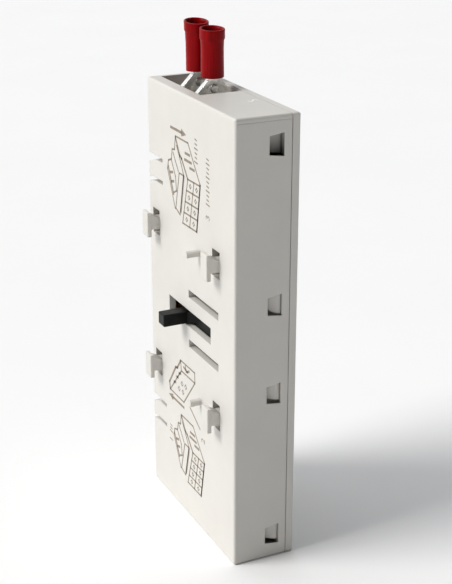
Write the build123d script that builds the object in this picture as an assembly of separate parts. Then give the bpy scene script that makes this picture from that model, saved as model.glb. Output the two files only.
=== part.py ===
from build123d import *
import os

# Clip-on side module of a contactor: a slim moulded box that stands on its small end.
# Everything is drawn from the housing's lower front corner on the hook face, in millimetres:
#   x = 0 is the hook face, which lies against the contactor, and x grows towards the cover
#   y = 0 is the narrow front face with the snap windows, and y grows towards the back
#   z = 0 is the bottom end
# On export every piece is moved so that the origin is the centre of the bottom end.

# ---- housing ----
WIDTH = 12.8
DEPTH = 39.4
HEIGHT = 88.0
WALL = 1.4
SEAM_X = 11.05            # parting plane between the housing and its cover
EDGE_R = 0.45
REVEAL = 0.14             # shadow line round the seam
REVEAL_INSET = 0.25
STEP_Z = 87.0             # fine line across the front face, below the top edge
STEP_H = 0.12
STEP_DEPTH = 0.04
GAP = 0.05                # assembly gap between pieces that stay together

# ---- terminal pocket, open at the top ----
POCKET_X0 = 2.5
POCKET_Y0 = 19.7
POCKET_Y1 = 38.1
POCKET_FLOOR = 77.0
PARTITION_Y0 = 18.3
PARTITION_Z0 = 72.5
CARRIER_Z0 = 74.1
LEDGE_X1 = 2.9
LEDGE_Z = (73.2, 74.0)

# ---- hooks, pegs, slots and tongues of the hook face ----
HOOK_FRONT_Y = 6.3        # lower y edge of each window column
HOOK_REAR_Y = 34.3
HOOK_UPPER_Z = 56.8       # bottom edge of each window row
HOOK_LOWER_Z = 26.1
HOOK_WINDOW_W = 3.2
HOOK_WINDOW_H = 5.2
HOOK_W = 2.8
HOOK_H = 5.0
HOOK_REACH = 2.6
HOOK_PLATE_T = 0.9
NECK_H = 3.1
NECK_LIFT = 1.5
NECK_ROOT_H = 2.1         # the neck is lower where it passes through the wall
NECK_ROOT = 0.6
PEG_Y = 14.5
PEG_W = 1.4
PEG_H = 1.1
PEGS = ((28.1, 2.4), (58.8, 2.85))   # height of the underside, reach
MAIN_SLOT = (10.3, 29.9, 42.4, 45.8)
THIN_SLOT_Y = (6.9, 20.4)
THIN_SLOT_H = 1.6
THIN_SLOT_ZS = (38.1, 48.5)
TONGUE_ROOT_Y = 32.3
TONGUE_SLIT = 0.8
TONGUE_H = 5.3
TONGUE_ZS = (15.2, 67.8)  # bottom of each tongue's lower slit
TONGUE_CUT_X = 3.0

# ---- ribs inside the housing ----
RIB_BITE = 0.2            # how far a rib runs into the wall that it stands on
GUIDE_T = 1.0             # guides above and below the slider
GUIDE_CLEAR = 0.15
GUIDE_Y = (4.0, 28.4)
GUIDE_OPENING_Y = (13.2, 20.8)
CRADLE_X1 = 3.4           # shelves that hold the solenoid's yoke
CRADLE_Y0 = 29.0
CRADLE_T = 1.0
STOP_X1 = 8.0             # stop under the plunger
STOP_Y = (32.0, 34.4)
STOP_Z = (28.2, 29.4)
STIFFENER_X1 = 4.0
STIFFENER_Z = (12.0, 13.0)
STIFFENER_Y1 = 30.0
STIFFENER_FOOT_Y = (20.0, 21.0)

# ---- snap windows and catches ----
CATCH_X0 = 6.65
CATCH_X1 = 9.6
CATCH_H = 3.8
FRONT_CATCH_ZS = (3.2, 33.3, 51.0, 81.0)
BACK_CATCH_ZS = (3.2, 22.0, 64.4)
CATCH_ARM_T = 1.0
CATCH_CLEAR = 0.25
WINDOW_FLARE = 0.42         # the windows widen by this much, up and down, towards the seam
CATCH_FALL = 0.3            # fall of a catch's lower edge towards the seam
# front catches from the bottom up: gap over the sill, recess, lower and upper corner radius
FRONT_CATCHES = ((0.5, 0.5, 0.3, 0.3), (0.4, 0.5, 0.3, 1.0), (0.1, 0.5, 2.3, 0.3),
                 (0.1, 1.3, 0.3, 0.3))
BACK_CATCH = (0.5, 0.5, 0.3, 0.3)
SILL_DROP = 1.0

# ---- slider with its lever ----
SLIDER_X0 = 1.5
SLIDER_T = 1.6
SLIDER_Y = (11.0, 24.8)
SLIDER_Z = (41.2, 47.0)
LEAF_POST_X0 = 6.9        # posts of the cover that hold the leaf spring
LEAF_POST_YS = (10.0, 24.0)
LEAF_POST_Z = (42.0, 46.2)
LEVER_Y = (21.5, 24.3)
LEVER_Z = (42.6, 45.1)
LEVER_TIP_X = -4.8
LEAF_T = 0.3
LEAF_W = 3.0
LEAF_Z0 = 42.6
LEAF_HALF = 7.6
LEAF_ENDS_X = 6.5

# ---- solenoid, standing along Z ----
COIL_X = 6.0
COIL_Y = 33.2
WINDING_R = 3.8
FLANGE_R = 3.95
TUBE_R = 2.0
BORE_R = 1.58
PLUNGER_R = 1.5
YOKE_T = 1.2
YOKE_Z0 = 34.8
YOKE_Z1 = 63.2
YOKE_HALF_Y = 3.8
YOKE_X0 = 2.0
YOKE_BEND_R = 0.7
CORE_RIVET_R = 1.25
CORE_HEAD_R = 1.9
CORE_HEAD_H = 0.8
BOBBIN_Z0 = YOKE_Z0 + YOKE_T + 0.1
BOBBIN_Z1 = YOKE_Z1 - YOKE_T - 0.1
FLANGE_T = 1.0
TAPE_Z0 = 48.5
CORE_Z0 = 52.0
PLUNGER_TOP = 49.5
PLUNGER_STEP = 33.3       # where the plunger's body gives way to its neck
PLUNGER_NECK_R = 0.6
PLUNGER_NECK_H = 2.6
PLUNGER_FOOT = 1.0
SPRING_R = 0.85
SPRING_WIRE_R = 0.15
SPRING_TURNS = 9
SPRING_SEAT = 43.5

# ---- release arm, carried by the plunger ----
ARM_X = (4.4, 7.6)
ARM_Z = (31.5, 32.5)
FINGER_Y = (17.0, 19.0)
FINGER_TOP = 39.0
FINGER_H = 1.2

# ---- terminals and push-on disconnects ----
TERMINAL_X = 6.9
TERMINAL_YS = {"front": 24.0, "rear": 30.7}
LEANS = {"front": 0.0, "rear": 2.6}   # degrees that each crimp end is bent back
BEND_Z = 89.8
TAB_W = 6.3
TAB_T = 0.8
TAB_TOP = 87.0
TAB_NOSE = 1.1            # slope of the tab's leading corners
TAIL_Z = 70.5
TAIL_W = 2.2
SHEET_T = 0.45
SHELL_W = 7.4
SHELL_Z0 = 79.9
SHELL_Z1 = 87.5
SHELL_CURL = 2.2          # how far each curled edge reaches over the tab
SHELL_DEPTH = 2.35
NECK_W = 2.8
NECK_T = 1.2
BARREL_R = 1.65
WIRE_R = 0.85
HOLE_R = 0.7              # inspection hole between the shoulders
BARREL_Z0 = 90.6
BARREL_Z1 = 96.0
SLEEVE_R = 2.19
SLEEVE_Z0 = 90.15
SLEEVE_TOPS = {"front": 99.4, "rear": 99.9}
COLLAR_R = 2.37
COLLAR_H = 2.2
SLEEVE_MOUTH_R = 1.86

# ---- suppressor disc and coil leads ----
DISC_X = 4.6
DISC_Y = 10.5
DISC_Z = 66.0
DISC_R = 3.6
DISC_T = 2.2
LEAD_R = 0.35
LEAD_Y = 28.5
LEAD_XS = {"front": 4.4, "rear": 3.0}
LEG_R = 0.25
LEAD_START_Z = 59.0
LEAD_BEND_Z = 67.0
LEAD_JOINT_Z = 71.6
LEG_JOINT_Z = 71.2
LEG_UNDER_Z = 68.6        # the rear leg passes under the front tail here
LEG_SPREAD = 1.2


def block(x0, x1, y0, y1, z0, z1):
    """Box between two opposite corners."""
    centre = Pos((x0 + x1) / 2, (y0 + y1) / 2, (z0 + z1) / 2)
    return centre * Box(x1 - x0, y1 - y0, z1 - z0)


def post(x, y, z0, z1, radius):
    """Round post along Z."""
    return Pos(x, y, (z0 + z1) / 2) * Cylinder(radius, z1 - z0)


def cross_pin(y, z, x0, x1, radius):
    """Round pin along X."""
    return Pos((x0 + x1) / 2, y, z) * Rot(0, 90, 0) * Cylinder(radius, x1 - x0)


def plate_yz(points, x0, x1):
    """Flat plate cut to an outline in the Y-Z plane."""
    outline = make_face(Polyline(*[(x0, y, z) for y, z in points], close=True))
    return extrude(outline, amount=x1 - x0, dir=(1, 0, 0))


def plate_xy(points, z0, z1):
    """Flat plate cut to an outline in the X-Y plane."""
    outline = make_face(Polyline(*[(x, y, z0) for x, y in points], close=True))
    return extrude(outline, amount=z1 - z0, dir=(0, 0, 1))


def plate_xz(points, y0, y1):
    """Flat plate cut to an outline in the X-Z plane."""
    outline = make_face(Polyline(*[(x, y0, z) for x, z in points], close=True))
    return extrude(outline, amount=y1 - y0, dir=(0, 1, 0))


def hook_places():
    """Lower front corner of each hook window."""
    return [(y, z) for y in (HOOK_FRONT_Y, HOOK_REAR_Y) for z in (HOOK_LOWER_Z, HOOK_UPPER_Z)]


def hook(y, z):
    """T-headed hook that leaves its window at (y, z) and is rooted on the wall's inner side."""
    plate_x1 = -HOOK_REACH + HOOK_PLATE_T
    root_x1 = WALL + NECK_ROOT
    head = block(-HOOK_REACH, plate_x1, y, y + HOOK_W, z, z + HOOK_H)
    head = fillet(head.edges().filter_by(Axis.Y) + head.edges().filter_by(Axis.Z), 0.2)
    neck_z0 = z + NECK_LIFT
    neck_z1 = neck_z0 + NECK_ROOT_H
    neck = plate_xz([(plate_x1 - 0.1, neck_z0), (root_x1, neck_z0), (root_x1, neck_z1),
                     (0.2, neck_z1), (plate_x1 - 0.1, neck_z0 + NECK_H)], y, y + HOOK_W)
    root = block(WALL - 0.1, root_x1, y, y + HOOK_W, z - 2.0, neck_z1)
    bent = neck + root
    bend = [e for e in bent.edges().filter_by(Axis.Y)
            if abs(e.center().X - root_x1) < 0.01 and e.center().Z > neck_z0]
    return head + fillet(bend, 0.5)


def peg(z, reach):
    """Short locating peg with a rounded upper edge."""
    body = block(-reach, 0.2, PEG_Y, PEG_Y + PEG_W, z, z + PEG_H)
    upper = body.edges().filter_by(Axis.X).group_by(Axis.Z)[-1]
    return fillet(upper, 0.6)


def tongue_slits(z):
    """Two slits that free a snap tongue; they fall towards the back edge, the upper one widening."""
    edge_y = DEPTH + 1
    top = z + TONGUE_H
    lower = plate_yz([(TONGUE_ROOT_Y, z), (36.0, z - 0.05), (edge_y, z - 1.0), (edge_y, z - 0.1),
                      (37.0, z + TONGUE_SLIT - 0.15), (TONGUE_ROOT_Y, z + TONGUE_SLIT)],
                     -1, TONGUE_CUT_X)
    upper = plate_yz([(TONGUE_ROOT_Y, top - TONGUE_SLIT), (36.0, top - TONGUE_SLIT - 0.1),
                      (edge_y, top - 2.4), (edge_y, top), (TONGUE_ROOT_Y, top)],
                     -1, TONGUE_CUT_X)
    return lower + upper


def tongue_nib(z):
    """Low snap nib along the free edge of a tongue."""
    return block(0.5, TONGUE_CUT_X - 0.2, DEPTH - 0.2, DEPTH + 0.3, z + 1.3, z + TONGUE_H - 2.6)


def slot(y0, y1, z0, z1, depth):
    """Straight slot through the hook face."""
    return block(-1, depth, y0, y1, z0, z1)


def window_outline(z, sill):
    """Outline of a catch window in XZ; it widens towards the seam and its sill is lowered."""
    return [(CATCH_X0, z - sill), (CATCH_X1, z - WINDOW_FLARE - sill), (CATCH_X1, z + CATCH_H),
            (CATCH_X0, z + CATCH_H - WINDOW_FLARE)]


def snap_window(z, back):
    """Window in the front or back wall for a catch, with a sill that falls away inwards."""
    sections = []
    for y, sill in ((-0.5, 0.0), (0.0, 0.0), (WALL + 0.5, SILL_DROP)):
        y = DEPTH - y if back else y
        corners = [(x, y, level) for x, level in window_outline(z, sill)]
        sections.append(Face(Wire.make_polygon(corners)))
    return loft(sections[:2], ruled=True) + loft(sections[1:], ruled=True)


def main_housing():
    """Moulded tray with the hook face, the terminal pocket, hooks, pegs and inner ribs."""
    shell = block(0, SEAM_X, 0, DEPTH, 0, HEIGHT)
    shell = fillet([e for e in shell.edges() if e.center().X < SEAM_X - 0.01], EDGE_R)
    shell -= block(EDGE_R, SEAM_X + 1, -1, STEP_DEPTH, STEP_Z, STEP_Z + STEP_H)
    shell -= block(WALL, SEAM_X + 1, WALL, DEPTH - WALL, WALL, POCKET_FLOOR + GAP)
    shell -= block(WALL, SEAM_X + 1, WALL, PARTITION_Y0, WALL, HEIGHT - WALL)
    shell -= block(POCKET_X0, SEAM_X + 1, POCKET_Y0, POCKET_Y1, POCKET_FLOOR, HEIGHT + 1)

    guide_x = SLIDER_X0 + SLIDER_T + 0.2
    guide_z = SLIDER_Z[1] + GUIDE_CLEAR
    lower_guide_z = SLIDER_Z[0] - GUIDE_CLEAR
    root = WALL - RIB_BITE
    back = DEPTH - root
    cradle_z1 = YOKE_Z0 - 0.1
    cradle_z2 = YOKE_Z1 + 0.1
    ribs = [
        # partition in front of the pocket and ledge that carries the terminal carrier
        block(root, SEAM_X, PARTITION_Y0, POCKET_Y0, PARTITION_Z0, POCKET_FLOOR + 1),
        block(root, LEDGE_X1, POCKET_Y0 - 0.1, back, *LEDGE_Z),
        # the lower guide is open for the release finger
        block(root, guide_x, *GUIDE_Y, guide_z, guide_z + GUIDE_T),
        block(root, guide_x, GUIDE_Y[0], GUIDE_OPENING_Y[0], lower_guide_z - GUIDE_T, lower_guide_z),
        block(root, guide_x, GUIDE_OPENING_Y[1], GUIDE_Y[1], lower_guide_z - GUIDE_T, lower_guide_z),
        block(root, CRADLE_X1, CRADLE_Y0, back, cradle_z1 - CRADLE_T, cradle_z1),
        block(root, CRADLE_X1, CRADLE_Y0, back, cradle_z2, cradle_z2 + CRADLE_T),
        block(root, STOP_X1, *STOP_Y, *STOP_Z),
        block(root, STIFFENER_X1, root, STIFFENER_Y1, *STIFFENER_Z),
        block(root, STIFFENER_X1, *STIFFENER_FOOT_Y, root, STIFFENER_Z[0] + 0.5),
    ]
    for rib in ribs:
        shell += rib

    for y, z in hook_places():
        shell -= block(-1, WALL + 0.5, y, y + HOOK_WINDOW_W, z, z + HOOK_WINDOW_H)
    for y, z in hook_places():
        shell += hook(y, z)
    for z, reach in PEGS:
        shell += peg(z, reach)

    shell -= slot(*MAIN_SLOT, WALL + 0.5)
    for z in THIN_SLOT_ZS:
        shell -= slot(*THIN_SLOT_Y, z, z + THIN_SLOT_H, WALL + 0.5)
    for z in TONGUE_ZS:
        shell += tongue_nib(z)
        shell -= tongue_slits(z)
    for z in FRONT_CATCH_ZS:
        shell -= snap_window(z, back=False)
    for z in BACK_CATCH_ZS:
        shell -= snap_window(z, back=True)
    return shell


def catch_arm(z, back, lift, recess, lower_r, upper_r):
    """Catch of the cover: an arm along the wall, with a ramped barb that fills its window.

    The barb stands lift over the sill, recess behind the outer face, and its free corners are
    rounded by lower_r and upper_r."""
    tip_x = CATCH_X0 + 0.1
    root_x = SEAM_X + 0.2
    inner = WALL + CATCH_CLEAR
    points = [(root_x, inner), (CATCH_X1 - 0.12, inner), (CATCH_X1 - 0.12, recess),
              (CATCH_X1 - 0.8, recess), (tip_x, max(inner - 0.2, recess)),
              (tip_x, inner + CATCH_ARM_T), (root_x, inner + CATCH_ARM_T)]
    if back:
        points = [(x, DEPTH - y) for x, y in points]
    foot = z + lift - CATCH_FALL
    top = z + CATCH_H - 0.12
    side = [(tip_x, z + lift), (CATCH_X1, foot), (root_x, foot), (root_x, top), (CATCH_X1, top),
            (tip_x, top - WINDOW_FLARE)]
    arm = plate_xy(points, foot, top) & plate_xz(side, -1, DEPTH + 1)
    corners = arm.edges().filter_by(Axis.Y).group_by(Axis.X)[0].sort_by(Axis.Z)
    arm = fillet(corners[0], lower_r)
    corners = arm.edges().filter_by(Axis.Y).group_by(Axis.X)[0].sort_by(Axis.Z)
    return fillet(corners[-1], upper_r)


def side_cover():
    """Flat cover that closes the open side, with its catches and leaf-spring posts."""
    plate = block(SEAM_X + REVEAL, WIDTH, 0, DEPTH, 0, HEIGHT)
    plate = fillet([e for e in plate.edges() if e.center().X > SEAM_X + REVEAL + 0.01], EDGE_R)
    plate += block(SEAM_X, WIDTH - 1, REVEAL_INSET, DEPTH - REVEAL_INSET,
                   REVEAL_INSET, HEIGHT - REVEAL_INSET)
    for z, shape in zip(FRONT_CATCH_ZS, FRONT_CATCHES):
        plate += catch_arm(z, False, *shape)
    for z in BACK_CATCH_ZS:
        plate += catch_arm(z, True, *BACK_CATCH)
    for y in LEAF_POST_YS:
        plate += block(LEAF_POST_X0, SEAM_X + 0.2, y - 0.6, y + 0.6, *LEAF_POST_Z)
    return plate


def trip_slider():
    """Black slider plate behind the main slot, with the lever that leaves the slot."""
    x0 = SLIDER_X0
    x1 = SLIDER_X0 + SLIDER_T
    y0, y1 = SLIDER_Y
    z0, z1 = SLIDER_Z
    plate = block(x0, x1, y0, y1, z0, z1)
    plate = fillet(plate.edges().filter_by(Axis.X), 0.5)
    notch_y = y1 - 3.6
    plate -= plate_yz([(notch_y, z0 - 1), (notch_y, z0 + 1.1), (notch_y + 1.2, z0 + 1.1),
                       (notch_y + 2.4, z0 - 0.01), (notch_y + 2.4, z0 - 1)], x0 - 1, x1 + 1)
    lever = block(LEVER_TIP_X, x0 + 0.4, *LEVER_Y, *LEVER_Z)
    end = lever.faces().sort_by(Axis.X)[0]
    lever = fillet(lever.edges().filter_by(Axis.X) + end.edges(), 0.25)
    gusset = plate_xy([(x0 + 0.2, LEVER_Y[0] - 1.6), (x0, LEVER_Y[0] - 1.6),
                       (x0 - 1.5, LEVER_Y[0] + 0.3), (x0 + 0.2, LEVER_Y[0] + 0.3)],
                      LEVER_Z[0] + 0.2, LEVER_Z[1] - 0.2)
    return plate + lever + gusset


def detent_leaf():
    """Bowed leaf spring that bears on the slider's inner side and gives it its drag."""
    belly_x = SLIDER_X0 + SLIDER_T + 0.15
    middle_y = (SLIDER_Y[0] + SLIDER_Y[1]) / 2 - 0.9
    y0 = middle_y - LEAF_HALF
    y1 = middle_y + LEAF_HALF
    outer = ThreePointArc((LEAF_ENDS_X, y0, LEAF_Z0), (belly_x, middle_y, LEAF_Z0),
                          (LEAF_ENDS_X, y1, LEAF_Z0))
    inner = Pos(LEAF_T, 0, 0) * outer
    sides = [Line(outer @ 0, inner @ 0), Line(outer @ 1, inner @ 1)]
    strip = make_face([outer, inner] + sides)
    return extrude(strip, amount=LEAF_W, dir=(0, 0, 1))


def coil_bobbin():
    """Bobbin: a tube with a flange at each end."""
    bobbin = post(COIL_X, COIL_Y, BOBBIN_Z0, BOBBIN_Z1, TUBE_R)
    bobbin += post(COIL_X, COIL_Y, BOBBIN_Z0, BOBBIN_Z0 + FLANGE_T, FLANGE_R)
    bobbin += post(COIL_X, COIL_Y, BOBBIN_Z1 - FLANGE_T, BOBBIN_Z1, FLANGE_R)
    return bobbin - post(COIL_X, COIL_Y, BOBBIN_Z0 - 1, BOBBIN_Z1 + 1, BORE_R)


def ring(z0, z1, outer_r, inner_r):
    """Round sleeve on the coil's axis."""
    return post(COIL_X, COIL_Y, z0, z1, outer_r) - post(COIL_X, COIL_Y, z0 - 1, z1 + 1, inner_r)


def coil_winding():
    """Copper winding between the bobbin's flanges."""
    z0 = BOBBIN_Z0 + FLANGE_T + 0.02
    z1 = BOBBIN_Z1 - FLANGE_T - 0.02
    return ring(z0, z1, WINDING_R, TUBE_R + 0.02)


def coil_tape():
    """Insulating tape round the upper half of the winding."""
    z1 = BOBBIN_Z1 - FLANGE_T - 0.04
    return ring(TAPE_Z0, z1, WINDING_R + 0.14, WINDING_R + 0.02)


def coil_yoke():
    """U-shaped steel yoke with its web along the cover."""
    y0 = COIL_Y - YOKE_HALF_Y
    y1 = COIL_Y + YOKE_HALF_Y
    web_x0 = COIL_X + FLANGE_R + 0.04
    web_x1 = SEAM_X - 0.1
    yoke = block(web_x0, web_x1, y0, y1, YOKE_Z0, YOKE_Z1)
    yoke += block(YOKE_X0, web_x1, y0, y1, YOKE_Z0, YOKE_Z0 + YOKE_T)
    yoke += block(YOKE_X0, web_x1, y0, y1, YOKE_Z1 - YOKE_T, YOKE_Z1)
    bends = [e for e in yoke.edges().filter_by(Axis.Y) if abs(e.center().X - web_x1) < 0.01]
    yoke = fillet(bends, YOKE_BEND_R)
    yoke -= post(COIL_X, COIL_Y, YOKE_Z0 - 1, YOKE_Z0 + 2, PLUNGER_R + 0.3)
    return yoke - post(COIL_X, COIL_Y, YOKE_Z1 - 2, YOKE_Z1 + 1, CORE_RIVET_R + 0.02)


def fixed_core():
    """Fixed core, staked into the yoke's upper plate."""
    core = post(COIL_X, COIL_Y, CORE_Z0, YOKE_Z1 - YOKE_T - 0.05, PLUNGER_R)
    core += post(COIL_X, COIL_Y, YOKE_Z1 - YOKE_T - 0.2, YOKE_Z1 + CORE_HEAD_H, CORE_RIVET_R)
    return core + post(COIL_X, COIL_Y, YOKE_Z1 + 0.05, YOKE_Z1 + CORE_HEAD_H, CORE_HEAD_R)


def plunger():
    """Steel plunger with a spring recess at the top and a necked foot for the release arm's fork."""
    neck_z0 = PLUNGER_STEP - PLUNGER_NECK_H
    rod = post(COIL_X, COIL_Y, PLUNGER_STEP, PLUNGER_TOP, PLUNGER_R)
    rod = chamfer(rod.edges().group_by(Axis.Z)[-1], 0.2)
    rod -= post(COIL_X, COIL_Y, SPRING_SEAT, PLUNGER_TOP + 1, SPRING_R + 0.3)
    rod += post(COIL_X, COIL_Y, neck_z0 - 0.1, PLUNGER_STEP + 0.1, PLUNGER_NECK_R)
    return rod + post(COIL_X, COIL_Y, neck_z0 - PLUNGER_FOOT, neck_z0, PLUNGER_R)


def plunger_spring():
    """Compression spring between the plunger's recess and the fixed core."""
    z0 = SPRING_SEAT + 0.05 + SPRING_WIRE_R
    length = CORE_Z0 - 0.05 - SPRING_WIRE_R - z0
    path = Helix(pitch=length / SPRING_TURNS, height=length, radius=SPRING_R)
    start = Plane(origin=path @ 0, z_dir=path % 0)
    coil = sweep(start * Circle(SPRING_WIRE_R), path=path, is_frenet=True)
    return Pos(COIL_X, COIL_Y, z0) * coil


def release_arm():
    """Arm clipped into the plunger's neck, with a finger that rises under the slider."""
    x0, x1 = ARM_X
    z0, z1 = ARM_Z
    y0, y1 = FINGER_Y
    tip_y = COIL_Y + 0.5
    arm = block(x0, x1, COIL_Y - 4, tip_y, z0, z1)
    arm = fillet([e for e in arm.edges().filter_by(Axis.Z) if e.center().Y > tip_y - 0.01], 0.45)
    arm -= block(COIL_X - 0.85, COIL_X + 0.85, COIL_Y - 1.6, tip_y + 1, z0 - 1, z1 + 1)
    arm += plate_yz([(COIL_Y - 3.5, z0), (COIL_Y - 3.5, z1), (y1 + 1.5, z1), (y1, z1 + 1.5),
                     (y1, FINGER_TOP), (y0, FINGER_TOP), (y0, z0)], x0 + 0.6, x1 - 0.6)
    return arm + block(SLIDER_X0 + 0.2, x1 - 0.6, y0, y1, FINGER_TOP - FINGER_H, FINGER_TOP)


def terminal_carrier():
    """Insulating block that carries both tabs and forms the pocket's floor."""
    carrier = block(WALL + GAP, SEAM_X - GAP, POCKET_Y0 + GAP, DEPTH - WALL - GAP,
                    CARRIER_Z0, POCKET_FLOOR)
    for y in TERMINAL_YS.values():
        half = TAB_W / 2 + 0.03
        carrier -= block(TERMINAL_X - half, TERMINAL_X + half, y - TAB_T / 2 - 0.03,
                         y + TAB_T / 2 + 0.03, CARRIER_Z0 - 1, POCKET_FLOOR + 1)
    return carrier


def terminal_tab(y):
    """Flat push-on tab with a narrow solder tail below the carrier."""
    half = TAB_W / 2
    tail = TAIL_W / 2
    outline = [(-tail, TAIL_Z), (tail, TAIL_Z), (tail, CARRIER_Z0 - 0.4), (half, CARRIER_Z0),
               (half, TAB_TOP - TAB_NOSE), (half - TAB_NOSE, TAB_TOP), (TAB_NOSE - half, TAB_TOP),
               (-half, TAB_TOP - TAB_NOSE), (-half, CARRIER_Z0), (-tail, CARRIER_Z0 - 0.4)]
    tab = plate_xz([(TERMINAL_X + x, z) for x, z in outline], y - TAB_T / 2, y + TAB_T / 2)
    dimple = Pos(TERMINAL_X, y, TAB_TOP - 3.2) * Rot(90, 0, 0) * Cylinder(0.8, 4)
    return tab - dimple


def bent_back(piece, place):
    """Piece drawn upright on its tab's axis, turned by its crimp end's lean."""
    pivot = Pos(TERMINAL_X, TERMINAL_YS[place], BEND_Z)
    return pivot * Rot(-LEANS[place], 0, 0) * pivot.inverse() * piece


def receptacle_shell(y):
    """Floor sheet with side walls and curled edges, open towards the tab."""
    face_y0 = y - TAB_T / 2 - GAP - SHEET_T
    half = SHELL_W / 2
    curl_y = face_y0 + SHELL_DEPTH
    shell = block(TERMINAL_X - half, TERMINAL_X + half, face_y0, face_y0 + SHEET_T,
                  SHELL_Z0, SHELL_Z1)
    for side in (-1, 1):
        wall = sorted((TERMINAL_X + side * half, TERMINAL_X + side * (half - SHEET_T)))
        curl = sorted((TERMINAL_X + side * half, TERMINAL_X + side * (half - SHELL_CURL)))
        lip = sorted((TERMINAL_X + side * (half - SHELL_CURL),
                      TERMINAL_X + side * (half - SHELL_CURL + SHEET_T)))
        shell += block(*wall, face_y0, curl_y, SHELL_Z0, SHELL_Z1)
        shell += block(*curl, curl_y - SHEET_T, curl_y, SHELL_Z0, SHELL_Z1)
        shell += block(*lip, y + TAB_T / 2 + 0.08, curl_y, SHELL_Z0, SHELL_Z1)
    corners = [e for e in shell.edges().filter_by(Axis.Z)
               if abs(abs(e.center().X - TERMINAL_X) - half) < 0.01]
    return fillet(corners, 0.4)


def receptacle(place):
    """Push-on receptacle: curled shell over the tab, shoulders, neck and crimp barrel."""
    y = TERMINAL_YS[place]
    face_y0 = y - TAB_T / 2 - GAP - SHEET_T
    half = SHELL_W / 2
    neck = NECK_W / 2
    slope_z = SHELL_Z1 + half - neck
    outline = [(-half, SHELL_Z1 - 0.9), (half, SHELL_Z1 - 0.9), (half, SHELL_Z1), (neck, slope_z),
               (neck, BEND_Z + 0.1), (-neck, BEND_Z + 0.1), (-neck, slope_z), (-half, SHELL_Z1)]
    shoulders = plate_xz([(TERMINAL_X + x, z) for x, z in outline], face_y0, face_y0 + NECK_T)
    shoulders -= block(TERMINAL_X - half, TERMINAL_X + half, face_y0 + SHEET_T, y + 2,
                       SHELL_Z1 - 1, TAB_TOP + 0.3)
    window = Pos(TERMINAL_X, y, SHELL_Z1 + 0.6) * Rot(90, 0, 0) * Cylinder(HOLE_R, 6)

    outline = [(-neck, BEND_Z), (neck, BEND_Z), (neck, BARREL_Z0), (BARREL_R, BARREL_Z0 + 0.5),
               (-BARREL_R, BARREL_Z0 + 0.5), (-neck, BARREL_Z0)]
    crimp = plate_xz([(TERMINAL_X + x, z) for x, z in outline], face_y0, face_y0 + NECK_T)
    crimp += post(TERMINAL_X, y, BARREL_Z0, BARREL_Z1, BARREL_R)
    crimp -= post(TERMINAL_X, y, BARREL_Z0 + 0.5, BARREL_Z1 + 1, WIRE_R)
    return receptacle_shell(y) + shoulders - window + bent_back(crimp, place)


def sleeve(place):
    """Red vinyl sleeve over the crimp barrel, with a thicker collar at its open end."""
    y = TERMINAL_YS[place]
    top = SLEEVE_TOPS[place]
    body = post(TERMINAL_X, y, SLEEVE_Z0, top, SLEEVE_R)
    collar = post(TERMINAL_X, y, top - COLLAR_H, top, COLLAR_R)
    body += fillet(collar.edges().filter_by(GeomType.CIRCLE), 0.12)
    body -= post(TERMINAL_X, y, BARREL_Z0 - GAP, BARREL_Z1 + 0.3, BARREL_R + 0.02)
    body -= post(TERMINAL_X, y, BARREL_Z1, top + 1, SLEEVE_MOUTH_R)
    neck = NECK_W / 2 + GAP
    y0 = y - TAB_T / 2 - SHEET_T - 2 * GAP
    body -= block(TERMINAL_X - neck, TERMINAL_X + neck, y0, y0 + NECK_T + 2 * GAP,
                  SLEEVE_Z0 - 1, BARREL_Z0 + 0.55)
    return bent_back(body, place)


def wire(points, radius, bend):
    """Round wire along straight runs joined by arcs."""
    path = FilletPolyline(*points, radius=bend)
    start = Plane(origin=path @ 0, z_dir=path % 0)
    return sweep(start * Circle(radius), path=path)


def coil_lead(y, start_x):
    """Lead from the winding, past the yoke's upper plate, to a tab's tail."""
    joint_x = TERMINAL_X - TAIL_W / 2 - 0.02
    return wire([(start_x, LEAD_Y, LEAD_START_Z), (start_x, LEAD_Y, LEAD_BEND_Z),
                 (start_x, y, LEAD_JOINT_Z), (joint_x, y, LEAD_JOINT_Z)], LEAD_R, 0.6)


def suppressor_disc():
    """Surge suppressor: a lacquered disc beside the pocket."""
    disc = cross_pin(DISC_Y, DISC_Z, DISC_X, DISC_X + DISC_T, DISC_R)
    return fillet(disc.edges(), 0.8)


def suppressor_leg(place):
    """One leg of the suppressor, bent towards a tab's tail; the rear one passes the front tail."""
    disc_x = DISC_X + DISC_T / 2
    disc_y = DISC_Y + DISC_R + 0.05
    joint_y = TERMINAL_YS[place] - TAB_T / 2 - 0.02
    if place == "front":
        start_z = DISC_Z + LEG_SPREAD
        middle = [(disc_x, disc_y + 2.2, start_z), (TERMINAL_X, joint_y - 3, LEG_JOINT_Z)]
    else:
        start_z = DISC_Z - LEG_SPREAD
        under_y = TERMINAL_YS["front"] - 2.1
        middle = [(disc_x, disc_y + 2.8, start_z), (TERMINAL_X, under_y, LEG_UNDER_Z),
                  (TERMINAL_X, joint_y - 2.4, LEG_UNDER_Z), (TERMINAL_X, joint_y - 1.4, LEG_JOINT_Z)]
    return wire([(disc_x, disc_y, start_z)] + middle + [(TERMINAL_X, joint_y, LEG_JOINT_Z)],
                LEG_R, 0.4)


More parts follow.
